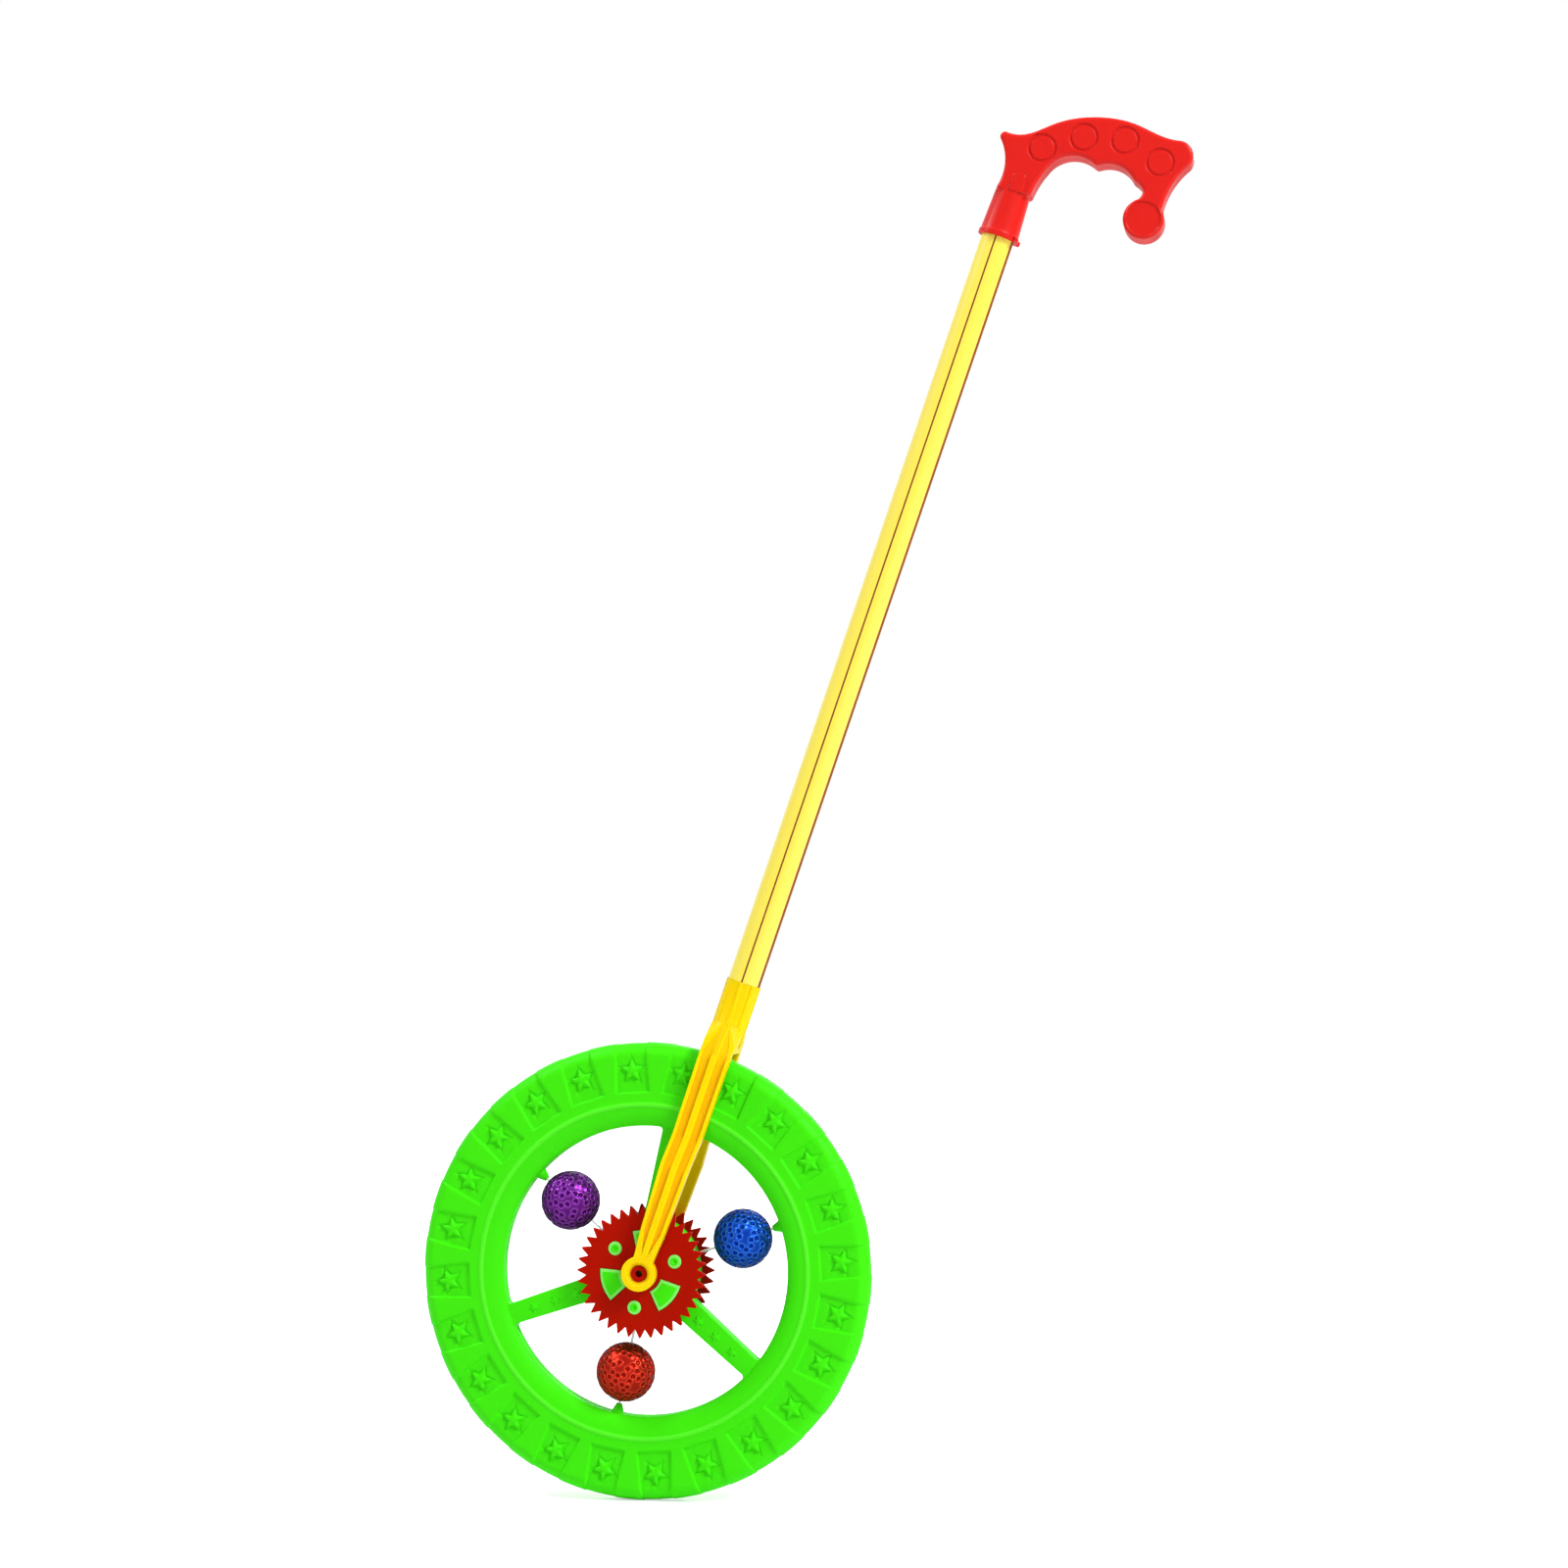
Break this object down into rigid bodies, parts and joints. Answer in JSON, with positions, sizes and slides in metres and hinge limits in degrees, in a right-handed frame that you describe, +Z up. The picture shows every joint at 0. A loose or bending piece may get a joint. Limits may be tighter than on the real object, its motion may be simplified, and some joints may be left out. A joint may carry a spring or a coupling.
{
  "type": "toddler push toy",
  "caption": "Hand push toy: a hollow spoked wheel with rattle balls on wires, held in a ribbed fork on a long round stick with a hooked hand grip.",
  "frame": {"origin": "middle of the wheel's axle, 110 mm above the floor that the wheel rolls on", "axes": "+Y along the axle, away from the viewer of the front; +Z up; the stick leans from +Z towards +X, the way the grip's hook points"},
  "size_m": [0.3759, 0.0412, 0.6632],
  "materials": {
    "wheel_plastic": "moulded, satin gloss, lime green",
    "disc_plastic": "moulded, satin gloss, red",
    "steel_wire": "drawn wire",
    "blue_ball_plastic": "moulded, glossy pearl blue",
    "purple_ball_plastic": "moulded, glossy pearl purple",
    "red_ball_plastic": "moulded, glossy pearl red",
    "bead_plastic": "moulded beads",
    "fork_plastic": "moulded, satin gloss, deep yellow",
    "tube_paint": "glossy pale yellow coating on a rolled tube",
    "grip_plastic": "moulded, satin gloss, red"
  },
  "bodies": {
    "push_frame": {"grip_front_half": "grip_plastic", "grip_rear_half": "grip_plastic", "stick_tube": "tube_paint", "fork": "fork_plastic"},
    "wheel": {"wheel_front_half": "wheel_plastic", "wheel_rear_half": "wheel_plastic", "toothed_disc_front": "disc_plastic", "toothed_disc_rear": "disc_plastic", "blue_ball_wire": "steel_wire", "purple_ball_wire": "steel_wire", "red_ball_wire": "steel_wire"},
    "blue_ball": {"blue_ball_outer_half": "blue_ball_plastic", "blue_ball_inner_half": "blue_ball_plastic", "blue_ball_beads": "bead_plastic"},
    "purple_ball": {"purple_ball_outer_half": "purple_ball_plastic", "purple_ball_inner_half": "purple_ball_plastic", "purple_ball_beads": "bead_plastic"},
    "red_ball": {"red_ball_outer_half": "red_ball_plastic", "red_ball_inner_half": "red_ball_plastic", "red_ball_beads": "bead_plastic"}
  },
  "joints": [
    {"name": "wheel_spin", "type": "hinge", "parent": "push_frame", "child": "wheel", "pos_m": [0, 0, 0], "axis": [0, 1, 0], "continuous": true},
    {"name": "blue_ball_spin", "type": "hinge", "parent": "wheel", "child": "blue_ball", "pos_m": [0.04742, 0, 0.01587], "axis": [0.9483, 0, 0.3173], "continuous": true},
    {"name": "purple_ball_spin", "type": "hinge", "parent": "wheel", "child": "purple_ball", "pos_m": [-0.03745, 0, 0.03313], "axis": [-0.749, 0, 0.6626], "continuous": true},
    {"name": "red_ball_spin", "type": "hinge", "parent": "wheel", "child": "red_ball", "pos_m": [-0.00997, 0, -0.049], "axis": [-0.1994, 0, -0.9799], "continuous": true}
  ]
}
